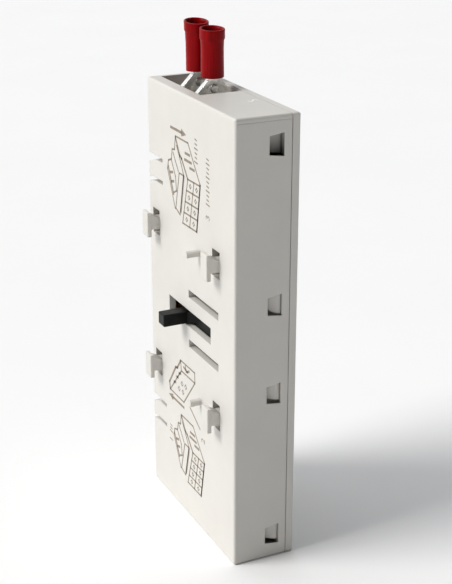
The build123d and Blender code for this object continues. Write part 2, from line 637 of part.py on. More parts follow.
PIECES = {
    "main_housing": main_housing(),
    "side_cover": side_cover(),
    "trip_slider": trip_slider(),
    "detent_leaf": detent_leaf(),
    "coil_bobbin": coil_bobbin(),
    "coil_winding": coil_winding(),
    "coil_tape": coil_tape(),
    "coil_yoke": coil_yoke(),
    "fixed_core": fixed_core(),
    "plunger": plunger(),
    "plunger_spring": plunger_spring(),
    "release_arm": release_arm(),
    "terminal_carrier": terminal_carrier(),
    "suppressor_disc": suppressor_disc(),
}
for place, row_y in TERMINAL_YS.items():
    PIECES[f"terminal_tab_{place}"] = terminal_tab(row_y)
    PIECES[f"receptacle_{place}"] = receptacle(place)
    PIECES[f"sleeve_{place}"] = sleeve(place)
    PIECES[f"coil_lead_{place}"] = coil_lead(row_y, LEAD_XS[place])
    PIECES[f"suppressor_leg_{place}"] = suppressor_leg(place)

os.makedirs("parts", exist_ok=True)
for name, piece in PIECES.items():
    export_step(Pos(-WIDTH / 2, -DEPTH / 2, 0) * piece, f"parts/{name}.step")
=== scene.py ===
import math

import bmesh
import bpy
from mathutils import Matrix, Vector


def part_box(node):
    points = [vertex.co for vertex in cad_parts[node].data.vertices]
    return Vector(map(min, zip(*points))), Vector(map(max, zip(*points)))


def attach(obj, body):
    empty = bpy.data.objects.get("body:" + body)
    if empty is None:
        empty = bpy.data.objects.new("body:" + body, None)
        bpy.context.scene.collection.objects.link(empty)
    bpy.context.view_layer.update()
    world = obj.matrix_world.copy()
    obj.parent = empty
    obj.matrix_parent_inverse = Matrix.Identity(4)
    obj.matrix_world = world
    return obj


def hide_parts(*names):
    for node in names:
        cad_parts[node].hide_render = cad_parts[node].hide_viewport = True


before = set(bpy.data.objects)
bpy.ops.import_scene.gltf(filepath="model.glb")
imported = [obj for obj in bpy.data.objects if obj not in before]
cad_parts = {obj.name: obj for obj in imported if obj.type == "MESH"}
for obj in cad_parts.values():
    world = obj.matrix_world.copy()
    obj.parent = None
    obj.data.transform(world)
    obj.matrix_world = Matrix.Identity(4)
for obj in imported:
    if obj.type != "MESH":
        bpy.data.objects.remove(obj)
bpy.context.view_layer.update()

# A slim clip-on side module of a contactor. Lengths are in metres, in the frame of the CAD model:
# -X is the hook face, -Y the narrow front with its snap windows, and Z points up the long side.
MM = 0.001
COVER_LOW, COVER_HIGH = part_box("side_cover")
FACE_X = -COVER_HIGH.x            # the hook face; the origin is the middle of the bottom end
FRONT_Y = COVER_LOW.y
TOP_Z = COVER_HIGH.z

# Box around the inside of the top front window, where shade is painted: ranges across, up, and in
# from the front face.
TOP_WINDOW_X = (0.0, 3.7 * MM)
TOP_WINDOW_Z = (TOP_Z - 7.8 * MM, TOP_Z - 2.5 * MM)
TOP_WINDOW_DEPTH = (0.04 * MM, 3.1 * MM)


# ---------------------------------------------------------------- materials

def add_node(mat, kind, **inputs):
    """New shader node with its inputs set by name; a socket value is linked."""
    node = mat.node_tree.nodes.new(kind)
    for name, value in inputs.items():
        socket = node.inputs[name.replace("_", " ")]
        if isinstance(value, bpy.types.NodeSocket):
            mat.node_tree.links.new(value, socket)
        else:
            socket.default_value = value
    return node


def start_material(name):
    """Material with only a Principled shader and its output; returns it with the shader."""
    mat = bpy.data.materials.new(name)
    mat.use_nodes = True
    return mat, mat.node_tree.nodes["Principled BSDF"]


def link(mat, source, target):
    mat.node_tree.links.new(source, target)


def coordinates(mat, stretch=(1, 1, 1)):
    """Object coordinates, stretched per axis, in metres."""
    place = add_node(mat, "ShaderNodeTexCoord").outputs["Object"]
    return add_node(mat, "ShaderNodeMapping", Vector=place, Scale=stretch).outputs["Vector"]


def noise(mat, vector, size, detail=4.0, rough=0.55):
    """Noise whose blotches are about size metres across, from 0 to 1."""
    node = add_node(mat, "ShaderNodeTexNoise", Vector=vector, Scale=1 / size,
                    Detail=detail, Roughness=rough)
    return node.outputs["Fac"]


def remap(mat, value, low, high, to_low, to_high):
    """Value from low..high to to_low..to_high, held at the ends."""
    node = add_node(mat, "ShaderNodeMapRange", Value=value, From_Min=low, From_Max=high,
                    To_Min=to_low, To_Max=to_high)
    return node.outputs["Result"]


def mixed(mat, factor, first, second):
    """Colour between first and second; each is a colour or a socket."""
    node = mat.node_tree.nodes.new("ShaderNodeMix")
    node.data_type = "RGBA"
    node.inputs["Factor"].default_value = 0.5
    link(mat, factor, node.inputs["Factor"])
    for socket, value in ((node.inputs[6], first), (node.inputs[7], second)):
        if isinstance(value, bpy.types.NodeSocket):
            link(mat, value, socket)
        else:
            socket.default_value = (*value, 1)
    return node.outputs[2]


def product(mat, first, second):
    """One socket's value times another's."""
    node = add_node(mat, "ShaderNodeMath", Value=first)
    node.operation = "MULTIPLY"
    link(mat, second, node.inputs[1])
    return node.outputs[0]


def edge_mask(mat, radius):
    """1 on sharp edges and 0 on flats, and the rounded normal, from a Bevel node."""
    bevel = add_node(mat, "ShaderNodeBevel", Radius=radius)
    bevel.samples = 6
    geometry = add_node(mat, "ShaderNodeNewGeometry")
    dot = mat.node_tree.nodes.new("ShaderNodeVectorMath")
    dot.operation = "DOT_PRODUCT"
    link(mat, bevel.outputs["Normal"], dot.inputs[0])
    link(mat, geometry.outputs["Normal"], dot.inputs[1])
    return remap(mat, dot.outputs["Value"], 1.0, 0.86, 0.0, 1.0), bevel.outputs["Normal"]


def bumped(mat, shader, heights, normal=None):
    """Chains bumps, each (height socket, depth in metres, strength), onto the shader's normal."""
    for height, depth, strength in heights:
        bump = add_node(mat, "ShaderNodeBump", Height=height, Distance=depth, Strength=strength)
        if normal is not None:
            link(mat, normal, bump.inputs["Normal"])
        normal = bump.outputs["Normal"]
    link(mat, normal, shader.inputs["Normal"])


def moulded_plastic(name, colour, shade, worn, rough, gloss=0.5):
    """Injection-moulded plastic: fine grain, faint flow clouds, painted shade in corners and
    recesses, polished edges.
    """
    mat, shader = start_material(name)
    place = coordinates(mat)
    clouds = noise(mat, place, 14 * MM, 3.0)
    speckle = noise(mat, place, 0.6 * MM, 2.0)
    flow = noise(mat, coordinates(mat, (1, 1, 0.22)), 4 * MM, 5.0)
    wear, rounded = edge_mask(mat, 0.25 * MM)
    # Painted shade: ambient occlusion darkens the colour in corners, creases and recesses.
    crevice_shade_ao = add_node(mat, "ShaderNodeAmbientOcclusion", Distance=1.2 * MM)
    crevice_shade_ao.samples = 6
    body = mixed(mat, remap(mat, clouds, 0.35, 0.7, 0, 1), colour, shade)
    body = mixed(mat, remap(mat, speckle, 0.62, 0.75, 0, 0.25), body, shade)
    painted_crevice_shade = [0.72 * c for c in shade]
    body = mixed(mat, remap(mat, crevice_shade_ao.outputs["AO"], 0.25, 0.8, 0.55, 0), body, painted_crevice_shade)
    body = mixed(mat, product(mat, wear, remap(mat, flow, 0.35, 0.65, 0.2, 0.8)), body, worn)
    link(mat, body, shader.inputs["Base Color"])
    link(mat, remap(mat, flow, 0.3, 0.7, rough - 0.05, rough + 0.07), shader.inputs["Roughness"])
    fine = noise(mat, place, 0.22 * MM, 2.0, 0.6)
    bumped(mat, shader, [(fine, 0.012 * MM, 0.35), (clouds, 0.08 * MM, 0.25)], rounded)
    shader.inputs["Specular IOR Level"].default_value = gloss
    return mat


def inside(mat, value, low, high, fade):
    """1 between low and high and 0 outside, with a ramp fade wide just within each limit."""
    rise = remap(mat, value, low, low + fade, 0, 1)
    return product(mat, rise, remap(mat, value, high - fade, high, 1, 0))


def paint_top_window_shade(mat, upper, lower):
    """Paints shade onto the sunk catch and the walls of the top front window, darkest at its
    sill.
    """
    shader = mat.node_tree.nodes["Principled BSDF"]
    split = add_node(mat, "ShaderNodeSeparateXYZ", Vector=coordinates(mat))
    x, y, z = (split.outputs[axis] for axis in "XYZ")
    near, far = (FRONT_Y + depth for depth in TOP_WINDOW_DEPTH)
    mask = product(mat, inside(mat, x, *TOP_WINDOW_X, 0.1 * MM),
                   inside(mat, z, *TOP_WINDOW_Z, 0.1 * MM))
    mask = product(mat, mask, inside(mat, y, near, far, 0.26 * MM))
    sill, lintel = TOP_WINDOW_Z[0] + 1.2 * MM, TOP_WINDOW_Z[1] - 1.3 * MM
    # Painted shade: the window's inside is greyed, darkest at the sill and lighter towards the
    # lintel.
    painted_window_shade = mixed(mat, remap(mat, z, sill, lintel, 0, 1), lower, upper)
    plain = shader.inputs["Base Color"].links[0].from_socket
    link(mat, mixed(mat, mask, plain, painted_window_shade), shader.inputs["Base Color"])


def plated_metal(name, colour, stain, rough):
    """Plated sheet: fine rolling marks, dull stains and brighter sheared edges."""
    mat, shader = start_material(name)
    place = coordinates(mat)
    marks = noise(mat, coordinates(mat, (1, 1, 0.06)), 0.18 * MM, 6.0, 0.7)
    stains = noise(mat, place, 2.1 * MM, 5.0, 0.6)
    wear, rounded = edge_mask(mat, 0.12 * MM)
    body = mixed(mat, remap(mat, stains, 0.42, 0.68, 0, 1), colour, stain)
    body = mixed(mat, wear, body, [min(1, 1.12 * c) for c in colour])
    link(mat, body, shader.inputs["Base Color"])
    shader.inputs["Metallic"].default_value = 1.0
    link(mat, remap(mat, stains, 0.35, 0.7, rough, rough + 0.2), shader.inputs["Roughness"])
    bumped(mat, shader, [(marks, 0.006 * MM, 0.5), (stains, 0.03 * MM, 0.35)], rounded)
    return mat


def soft_vinyl(name, colour, dark, light):
    """Soft red vinyl: long drawn streaks, a dusty bloom and a satin gloss."""
    mat, shader = start_material(name)
    place = coordinates(mat)
    streaks = noise(mat, coordinates(mat, (1, 1, 0.05)), 0.5 * MM, 4.0)
    bloom = noise(mat, place, 1.6 * MM, 5.0, 0.65)
    wear, rounded = edge_mask(mat, 0.18 * MM)
    body = mixed(mat, remap(mat, streaks, 0.35, 0.68, 0, 1), colour, dark)
    body = mixed(mat, remap(mat, bloom, 0.55, 0.8, 0, 0.25), body, light)
    body = mixed(mat, remap(mat, wear, 0, 1, 0, 0.5), body, light)
    link(mat, body, shader.inputs["Base Color"])
    link(mat, remap(mat, bloom, 0.3, 0.7, 0.3, 0.46), shader.inputs["Roughness"])
    shader.inputs["Specular IOR Level"].default_value = 0.09
    bumped(mat, shader, [(streaks, 0.01 * MM, 0.4), (bloom, 0.02 * MM, 0.3)], rounded)
    return mat


def enamelled_copper():
    """Copper wire under brown enamel."""
    mat, shader = start_material("enamelled_copper")
    place = coordinates(mat)
    tint = noise(mat, place, 1.5 * MM, 4.0)
    fine = noise(mat, place, 0.2 * MM, 3.0)
    body = mixed(mat, remap(mat, tint, 0.35, 0.65, 0, 1), (0.80, 0.50, 0.16), (0.55, 0.33, 0.09))
    link(mat, body, shader.inputs["Base Color"])
    link(mat, remap(mat, fine, 0.3, 0.7, 0.22, 0.38), shader.inputs["Roughness"])
    shader.inputs["Metallic"].default_value = 1.0
    shader.inputs["Coat Weight"].default_value = 0.4
    bumped(mat, shader, [(fine, 0.008 * MM, 0.4)])
    return mat


def printed_ink(name, colour, thinned):
    """Pad-printed ink with thin spots."""
    mat, shader = start_material(name)
    place = coordinates(mat)
    thin = noise(mat, place, 0.5 * MM, 5.0, 0.7)
    body = mixed(mat, remap(mat, thin, 0.45, 0.75, 0, 1), colour, thinned)
    link(mat, body, shader.inputs["Base Color"])
    link(mat, remap(mat, thin, 0.3, 0.7, 0.5, 0.65), shader.inputs["Roughness"])
    bumped(mat, shader, [(thin, 0.004 * MM, 0.5)])
    return mat


def studio_floor():
    """Pale matt floor with a very faint mottle."""
    mat, shader = start_material("floor")
    mottle = noise(mat, coordinates(mat), 50 * MM, 4.0)
    body = mixed(mat, remap(mat, mottle, 0.3, 0.7, 0, 1), (0.97, 0.97, 0.97), (0.95, 0.95, 0.95))
    link(mat, body, shader.inputs["Base Color"])
    link(mat, remap(mat, mottle, 0.3, 0.7, 0.8, 0.9), shader.inputs["Roughness"])
    return mat


CREAM = moulded_plastic("cream_plastic", (0.645, 0.625, 0.585), (0.615, 0.597, 0.56),
                        (0.74, 0.725, 0.69), 0.46)
BLACK = moulded_plastic("black_plastic", (0.006, 0.006, 0.006), (0.004, 0.004, 0.004),
                        (0.05, 0.05, 0.048), 0.40, 0.14)
GREY = moulded_plastic("grey_plastic", (0.26, 0.26, 0.26), (0.22, 0.22, 0.22),
                       (0.36, 0.36, 0.36), 0.5)
CARRIER = moulded_plastic("carrier_plastic", (0.46, 0.46, 0.44), (0.34, 0.34, 0.32),
                          (0.55, 0.55, 0.53), 0.5)
NATURAL = moulded_plastic("natural_plastic", (0.56, 0.52, 0.40), (0.5, 0.46, 0.35),
                          (0.66, 0.62, 0.5), 0.45)
TAPE = moulded_plastic("yellow_tape", (0.62, 0.40, 0.05), (0.52, 0.32, 0.04),
                       (0.7, 0.5, 0.12), 0.25)
LACQUER = moulded_plastic("blue_lacquer", (0.02, 0.07, 0.26), (0.015, 0.05, 0.2),
                          (0.06, 0.13, 0.34), 0.22)
TIN = plated_metal("tin_plate", (0.95, 0.94, 0.91), (0.62, 0.61, 0.58), 0.2)
STEEL = plated_metal("zinc_steel", (0.62, 0.63, 0.64), (0.45, 0.45, 0.43), 0.28)
SPRING = plated_metal("spring_steel", (0.55, 0.55, 0.56), (0.38, 0.37, 0.36), 0.22)
LEAD = plated_metal("tinned_copper", (0.76, 0.66, 0.56), (0.6, 0.5, 0.4), 0.25)
RED = soft_vinyl("red_vinyl", (0.31, 0.0004, 0.003), (0.19, 0.0002, 0.001), (0.38, 0.008, 0.014))
COPPER = enamelled_copper()
INK = printed_ink("printed_ink", (0.22, 0.175, 0.13), (0.34, 0.29, 0.23))
WHITE = printed_ink("white_ink", (0.92, 0.92, 0.9), (0.84, 0.84, 0.82))
# Shade painted into the top front window of the cream plastic.
paint_top_window_shade(CREAM, (0.44, 0.43, 0.40), (0.125, 0.12, 0.112))

NODE_MATERIALS = {
    "main_housing": CREAM, "side_cover": CREAM, "trip_slider": BLACK, "detent_leaf": SPRING,
    "coil_bobbin": NATURAL, "coil_tape": TAPE, "coil_yoke": STEEL, "fixed_core": STEEL,
    "plunger": STEEL, "plunger_spring": SPRING, "release_arm": GREY,
    "terminal_carrier": CARRIER, "suppressor_disc": LACQUER, "terminal_tab_front": TIN,
    "terminal_tab_rear": TIN, "coil_lead_front": LEAD, "coil_lead_rear": LEAD,
    "suppressor_leg_front": LEAD, "suppressor_leg_rear": LEAD,
}


def dress_nodes():
    """Gives every CAD node that stays in view its material."""
    for name, mat in NODE_MATERIALS.items():
        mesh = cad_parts[name].data
        mesh.materials.clear()
        mesh.materials.append(mat)


# ---------------------------------------------------------------- mesh tools

def as_object(name, bm, mat, smooth_angle=35):
    """Object from a bmesh, smooth except across edges sharper than smooth_angle degrees."""
    bmesh.ops.remove_doubles(bm, verts=bm.verts, dist=1e-7)
    bmesh.ops.recalc_face_normals(bm, faces=bm.faces)
    limit = math.radians(smooth_angle)
    for face in bm.faces:
        face.smooth = True
    for edge in bm.edges:
        edge.smooth = len(edge.link_faces) == 2 and edge.calc_face_angle(0) < limit
    mesh = bpy.data.meshes.new(name)
    bm.to_mesh(mesh)
    bm.free()
    mesh.materials.append(mat)
    obj = bpy.data.objects.new(name, mesh)
    bpy.context.scene.collection.objects.link(obj)
    return obj


def arc(centre, radius, start, end, steps):
    """Points of an arc, angles in degrees."""
    angles = [math.radians(start + (end - start) * i / steps) for i in range(steps + 1)]
    return [(centre[0] + radius * math.cos(a), centre[1] + radius * math.sin(a)) for a in angles]


ON_AXIS = 0.0001 * MM             # radius of a lathed point on the axis; its ring is merged


def lathe(bm, profile, x, y, segments):
    """Turns a closed (radius, z) outline about a vertical axis at (x, y)."""
    rings = []
    for k in range(segments):
        a = 2 * math.pi * k / segments
        ring = [bm.verts.new((x + r * math.cos(a), y + r * math.sin(a), z)) for r, z in profile]
        rings.append(ring)
    count = len(profile)
    for k in range(segments):
        here, there = rings[k], rings[(k + 1) % segments]
        for i in range(count):
            j = (i + 1) % count
            bm.faces.new((here[i], there[i], there[j], here[j]))


def prism(bm, outline, axis, low, high):
    """Closed prism: an outline in the plane across an axis, from low to high along it."""
    def point(pair, level):
        values = list(pair)
        values.insert(axis, level)
        return bm.verts.new(values)
    bottom = [point(pair, low) for pair in outline]
    top = [point(pair, high) for pair in outline]
    bm.faces.new(bottom)
    bm.faces.new(list(reversed(top)))
    for i in range(len(outline)):
        j = (i + 1) % len(outline)
        bm.faces.new((bottom[i], top[i], top[j], bottom[j]))


def finished(obj, kind, **settings):
    """Applies one modifier of a kind to the object's mesh."""
    modifier = obj.modifiers.new(kind.lower(), kind)
    for key, value in settings.items():
        setattr(modifier, key, value)
    depsgraph = bpy.context.evaluated_depsgraph_get()
    depsgraph.update()
    mesh = bpy.data.meshes.new_from_object(obj.evaluated_get(depsgraph))
    obj.modifiers.clear()
    obj.data = mesh
    return obj


def drilled(obj, centre, radius, length):
    """Cuts a round hole along Y through a closed mesh."""
    bm = bmesh.new()
    bmesh.ops.create_cone(bm, cap_ends=True, segments=40, radius1=radius, radius2=radius,
                          depth=length)
    bm.transform(Matrix.Translation(centre) @ Matrix.Rotation(math.pi / 2, 4, "X"))
    cutter = as_object("cutter", bm, obj.data.materials[0])
    finished(obj, "BOOLEAN", object=cutter, operation="DIFFERENCE", solver="EXACT")
    bpy.data.objects.remove(cutter)
    return obj


# ---------------------------------------------------------------- disconnects

SHEET = 0.45 * MM
SHELL_H = 7.35 * MM
SHELL_DEPTH = 2.35 * MM
SHELL_SHORT = 0.9 * MM           # the curled shell ends this far below the shoulders
FLOOR_SETBACK = 0.9 * MM         # from a receptacle's floor sheet back to its tab's middle
FLAT_RECESS = 0.04 * MM          # sets the floor sheet's outer face in from the flanges' edges
LAP = 1.4 * MM                   # floor sheet and flanges start this far below the shoulders
FLANGE_DEPTH = 1.25 * MM
NECK_HALF = 1.15 * MM
BEND_Z = TOP_Z + 1.8 * MM        # height of the bend between the neck and the barrel
NECK_TOP = BEND_Z + 0.7 * MM
BARREL_Z = (TOP_Z + 2.6 * MM, TOP_Z + 8.0 * MM)
BARREL_R = 1.65 * MM
BARREL_LIP = 0.12 * MM
WIRE_R = 0.85 * MM
BORE_FLOOR = 0.5 * MM            # closed stretch at the bottom of the barrel's bore
PIP_R = 0.84 * MM
PIP_DROP = 1.66 * MM             # from the upper end of the shoulders down to the pressed pip
SLEEVE_R = 2.19 * MM
COLLAR_R = 2.37 * MM
COLLAR_H = 2.2 * MM
SLEEVE_BORE = 1.68 * MM
MOUTH_RIM = 0.17 * MM
FOOT_RIM = 0.09 * MM
PINCH = 0.006                    # share of its radius by which the vinyl is out of round
LEANS = {"front": 0.0, "rear": 2.6}        # degrees that each crimp end is bent back
CUTS = {"front": 0.085, "rear": 0.17}       # slope of each sleeve's cut end, lower at the front


def tab_axis(place):
    """Middle of the tab that a disconnect sits on."""
    low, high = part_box(f"terminal_tab_{place}")
    return (low.x + high.x) / 2, (low.y + high.y) / 2


def bent_back(bm, place):
    """Turns a crimp end, drawn upright, by its lean."""
    pivot = Vector((*tab_axis(place), BEND_Z))
    turn = Matrix.Rotation(-math.radians(LEANS[place]), 4, "X")
    bm.transform(Matrix.Translation(pivot) @ turn @ Matrix.Translation(-pivot))


def shell_ring(half):
    """Outer line of the shell's section: a floor with both edges curled over and inwards."""
    bend = 0.6 * MM
    curl = 0.95 * MM
    tip = 0.42 * MM
    right = [(half * t, 0.0) for t in (0.0, 0.4, 0.7)]
    right += arc((half - bend, bend), bend, -90, 0, 8)
    right += arc((half - curl, SHELL_DEPTH - curl), curl, 0, 90, 10)
    right += arc((half - 1.75 * MM, SHELL_DEPTH - tip), tip, 90, 215, 8)
    return [(-x, y) for x, y in reversed(right[1:])] + right


def inset_line(points, distance):
    """Line a fixed distance to the left of an open line."""
    moved = []
    for i, (x, y) in enumerate(points):
        before = points[max(i - 1, 0)]
        after = points[min(i + 1, len(points) - 1)]
        run = Vector((after[0] - before[0], after[1] - before[1])).normalized()
        moved.append((x - run.y * distance, y + run.x * distance))
    return moved


def receptacle_shell(bm, x, face_y, z0, z1, half):
    """The curled shell from z0 up to z1, drawn in slightly at both ends."""
    ring = shell_ring(half)
    section = ring + list(reversed(inset_line(ring, SHEET)))
    levels = [(z0, 0.95), (z0 + 0.15 * MM, 0.985), (z0 + 0.4 * MM, 1.0), (z1 - 0.5 * MM, 1.0),
              (z1 - 0.12 * MM, 0.985), (z1, 0.96)]
    middle = SHELL_DEPTH / 2
    loops = []
    for z, grow in levels:
        loops.append([bm.verts.new((x + px * grow, face_y + middle + (py - middle) * grow, z))
                      for px, py in section])
    count = len(section)
    for low, high in zip(loops, loops[1:]):
        for i in range(count):
            j = (i + 1) % count
            bm.faces.new((low[i], low[j], high[j], high[i]))
    for loop in (loops[0], loops[-1]):
        for i in range(len(ring) - 1):
            j = count - 1 - i
            bm.faces.new((loop[i], loop[i + 1], loop[j - 1], loop[j]))


def shoulder_flat(node, x, face_y, half, shell_top, pip_z):
    """Floor sheet of the 45 degree shoulders and the neck, with a hole for the pip."""
    edge = half - 0.1 * MM
    right = [(edge, shell_top - LAP), (edge, shell_top),
             (NECK_HALF, shell_top + half - NECK_HALF), (NECK_HALF, NECK_TOP)]
    outline = [(x + dx, z) for dx, z in right] + [(x - dx, z) for dx, z in reversed(right)]
    bm = bmesh.new()
    prism(bm, outline, 1, face_y + FLAT_RECESS, face_y + SHEET)
    flat = drilled(as_object(f"{node}_flat", bm, TIN), (x, face_y, pip_z), PIP_R, 4 * MM)
    return finished(flat, "BEVEL", width=0.07 * MM, segments=2, limit_method="ANGLE")


def pressed_pip(node, x, face_y, z):
    """Low round pip that stands out of the floor sheet."""
    rim = PIP_R + 0.02 * MM
    crown = 0.65 * MM
    foot = -0.12 * MM
    bm = bmesh.new()
    lathe(bm, [(ON_AXIS, foot), (rim, foot), (rim, crown - 0.25 * MM),
               (rim - 0.08 * MM, crown - 0.15 * MM), (rim - 0.2 * MM, crown - 0.07 * MM),
               (rim - 0.36 * MM, crown - 0.02 * MM), (0.3 * MM, crown), (ON_AXIS, crown)],
          0, 0, 40)
    bm.transform(Matrix.Translation((x, face_y + SHEET, z))
                 @ Matrix.Rotation(math.pi / 2, 4, "X"))
    return as_object(f"{node}_pip", bm, TIN, 40)


def shoulder_rails(node, x, face_y, half, shell_top):
    """Flanges folded up along both sides of the shoulders and the neck."""
    slope_z = shell_top + half - NECK_HALF
    ease = 0.1 * MM
    bm = bmesh.new()
    for side in (-1, 1):
        right = [(half, shell_top - LAP), (half, shell_top - ease),
                 (half - ease, shell_top + 0.08 * MM), (NECK_HALF + ease, slope_z - ease),
                 (NECK_HALF, slope_z + 0.12 * MM), (NECK_HALF, NECK_TOP)]
        outer = [(x + side * dx, z) for dx, z in right]
        inner = inset_line(outer, side * SHEET)
        prism(bm, outer + list(reversed(inner)), 1, face_y, face_y + FLANGE_DEPTH)
    rails = as_object(f"{node}_rails", bm, TIN)
    return finished(rails, "BEVEL", width=0.09 * MM, segments=3, limit_method="ANGLE")


def crimp_barrel(node, x, y, place):
    """Round crimp barrel with an open bore."""
    z0, z1 = BARREL_Z
    bm = bmesh.new()
    lathe(bm, [(ON_AXIS, z0), (BARREL_R - BARREL_LIP, z0), (BARREL_R, z0 + BARREL_LIP),
               (BARREL_R, z1 - BARREL_LIP), (BARREL_R - BARREL_LIP, z1),
               (WIRE_R + BARREL_LIP, z1), (WIRE_R, z1 - BARREL_LIP), (WIRE_R, z0 + BORE_FLOOR),
               (ON_AXIS, z0 + BORE_FLOOR)], x, y, 48)
    bent_back(bm, place)
    return as_object(f"{node}_barrel", bm, TIN)


def receptacle(place):
    """Tinned push-on receptacle: curled shell, flanged 45 degree shoulders, neck and barrel."""
    node = f"receptacle_{place}"
    low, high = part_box(node)
    x, y = tab_axis(place)
    half = (high.x - low.x) / 2
    face_y = y - FLOOR_SETBACK
    shell_top = low.z + SHELL_H
    pip_z = shell_top + half - NECK_HALF - PIP_DROP
    bm = bmesh.new()
    receptacle_shell(bm, x, face_y, low.z, shell_top - SHELL_SHORT, half)
    shell = as_object(f"{node}_shell", bm, TIN, 50)
    pieces = [shell, shoulder_flat(node, x, face_y, half, shell_top, pip_z),
              pressed_pip(node, x, face_y, pip_z),
              shoulder_rails(node, x, face_y, half, shell_top), crimp_barrel(node, x, y, place)]
    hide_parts(node)
    for piece in pieces:
        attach(piece, f"disconnect_{place}")


def sleeve_outline(z0, z1):
    """Half section of a sleeve from z0 up to z1: outside, then the funnelled mouth and bore."""
    step = z1 - COLLAR_H
    outside = arc((SLEEVE_R - FOOT_RIM, z0 + FOOT_RIM), FOOT_RIM, -90, 0, 6)
    outside += [(SLEEVE_R - 0.03 * MM, z0 + 2.6 * MM), (SLEEVE_R - 0.05 * MM, z0 + 5.2 * MM)]
    outside += [(SLEEVE_R, step - 0.5 * MM), (SLEEVE_R + 0.02 * MM, step - 0.15 * MM)]
    outside += [(COLLAR_R - 0.03 * MM, step + 0.12 * MM), (COLLAR_R, step + 0.4 * MM)]
    outside += arc((COLLAR_R - MOUTH_RIM, z1 - MOUTH_RIM), MOUTH_RIM, 0, 80, 6)
    mouth = [(2.1 * MM, z1 - 0.01 * MM), (1.98 * MM, z1 - 0.12 * MM), (1.9 * MM, z1 - 0.6 * MM),
             (1.86 * MM, z1 - 1.6 * MM), (1.84 * MM, z0 + 6.6 * MM)]
    bore = [(SLEEVE_BORE, z0 + 6.2 * MM), (SLEEVE_BORE, z0 + 0.35 * MM),
            (SLEEVE_BORE + 0.1 * MM, z0)]
    return outside + mouth + bore


def sleeve(place):
    """Vinyl sleeve: drawn tube with a soft collar and an oblique, hand-cut mouth."""
    node = f"sleeve_{place}"
    x, y = tab_axis(place)
    low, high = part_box(f"sleeve_{place}")
    lean = math.radians(LEANS[place])
    z1 = BEND_Z + (high.z - BEND_Z - COLLAR_R * math.sin(lean)) / math.cos(lean)
    z0 = BEND_Z + (low.z - BEND_Z + SLEEVE_R * math.sin(lean)) / math.cos(lean)
    bm = bmesh.new()
    lathe(bm, sleeve_outline(z0, z1), x, y, 80)
    for vert in bm.verts:
        share = max(0.0, (vert.co.z - (z1 - COLLAR_H)) / COLLAR_H)
        vert.co.z -= share * CUTS[place] * (COLLAR_R - (vert.co.y - y))
        angle = math.atan2(vert.co.y - y, vert.co.x - x)
        wave = math.sin(2 * angle + 0.7) * math.sin((vert.co.z - z0) / MM)
        pinch = min(1 + PINCH * wave, 1.0)
        vert.co.x = x + (vert.co.x - x) * pinch
        vert.co.y = y + (vert.co.y - y) * pinch
    bent_back(bm, place)
    piece = as_object(f"{node}_vinyl", bm, RED, 50)
    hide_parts(node)
    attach(piece, f"disconnect_{place}")


# ---------------------------------------------------------------- coil

WIRE_TURNS = 104
WINDING_DEPTH = 1.7 * MM


def winding():
    """The coil's outermost layer of wire, one round rib for each turn."""
    low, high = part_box("coil_winding")
    x = (low.x + high.x) / 2
    y = (low.y + high.y) / 2
    radius = (high.x - low.x) / 2
    pitch = (high.z - low.z) / WIRE_TURNS
    outline = []
    for k in range(WIRE_TURNS):
        middle = low.z + (k + 0.5) * pitch
        outline += arc((radius - pitch / 2, middle), pitch / 2, -75, 75, 4)
    hub = radius - WINDING_DEPTH
    outline += [(hub, high.z - pitch * 0.1), (hub, low.z + pitch * 0.1)]
    bm = bmesh.new()
    lathe(bm, outline, x, y, 56)
    piece = as_object("coil_turns", bm, COPPER, 60)
    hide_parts("coil_winding")
    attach(piece, "housing")


# ---------------------------------------------------------------- printing

INK_HEIGHT = 0.012 * MM
INK_BITE = 0.004 * MM             # how deep printed pieces sit in the surface

# Widths and lengths of printed lines, in millimetres.
FINE = 0.2
TICK = 0.27
THIN = 0.34
THICK = 0.52
HEAVY = 0.62
TICK_LONG = 1.4
TICK_SHORT = 0.84
TICK_SLANT = 0.15
OVERRUN = 0.7                     # how far a line runs past its ends, in half widths
ARROW_WIDTH = 0.55
ARROW_HEAD = 2.2
ARROW_SPREAD = 0.75               # half the width of an arrow's head
DIGIT_H = 2.3


def on_face(y, z):
    """Point of the hook face's plane, from millimetres off the front edge and the base."""
    return FRONT_Y + y * MM, z * MM


def stroke(bm, points, width=THIN, closed=False):
    """Printed line through points (y, z) in millimetres, as flat pieces with square joins."""
    ends = points + points[:1] if closed else points
    half = width / 2
    for (y0, z0), (y1, z1) in zip(ends, ends[1:]):
        length = math.hypot(y1 - y0, z1 - z0)
        ty, tz = (y1 - y0) / length, (z1 - z0) / length
        reach = half * OVERRUN
        a0 = (y0 - ty * reach, z0 - tz * reach)
        a1 = (y1 + ty * reach, z1 + tz * reach)
        side = (-tz * half, ty * half)
        corners = [(a0[0] + side[0], a0[1] + side[1]), (a1[0] + side[0], a1[1] + side[1]),
                   (a1[0] - side[0], a1[1] - side[1]), (a0[0] - side[0], a0[1] - side[1])]
        patch(bm, corners)


def patch(bm, corners):
    """Printed area bounded by corners (y, z) in millimetres."""
    prism(bm, [on_face(y, z) for y, z in corners], 0, FACE_X + INK_BITE, FACE_X - INK_HEIGHT)


def between(a, b, t):
    """Point a share t of the way from a to b."""
    return a[0] + (b[0] - a[0]) * t, a[1] + (b[1] - a[1]) * t


def arrow(bm, tail, tip):
    """Solid arrow from tail to tip."""
    length = math.hypot(tip[0] - tail[0], tip[1] - tail[1])
    ty, tz = (tip[0] - tail[0]) / length, (tip[1] - tail[1]) / length
    neck = (tip[0] - ty * ARROW_HEAD, tip[1] - tz * ARROW_HEAD)
    across = (tz * ARROW_SPREAD, ty * ARROW_SPREAD)
    stroke(bm, [tail, neck], ARROW_WIDTH)
    patch(bm, [tip, (neck[0] - across[0], neck[1] + across[1]),
               (neck[0] + across[0], neck[1] - across[1])])


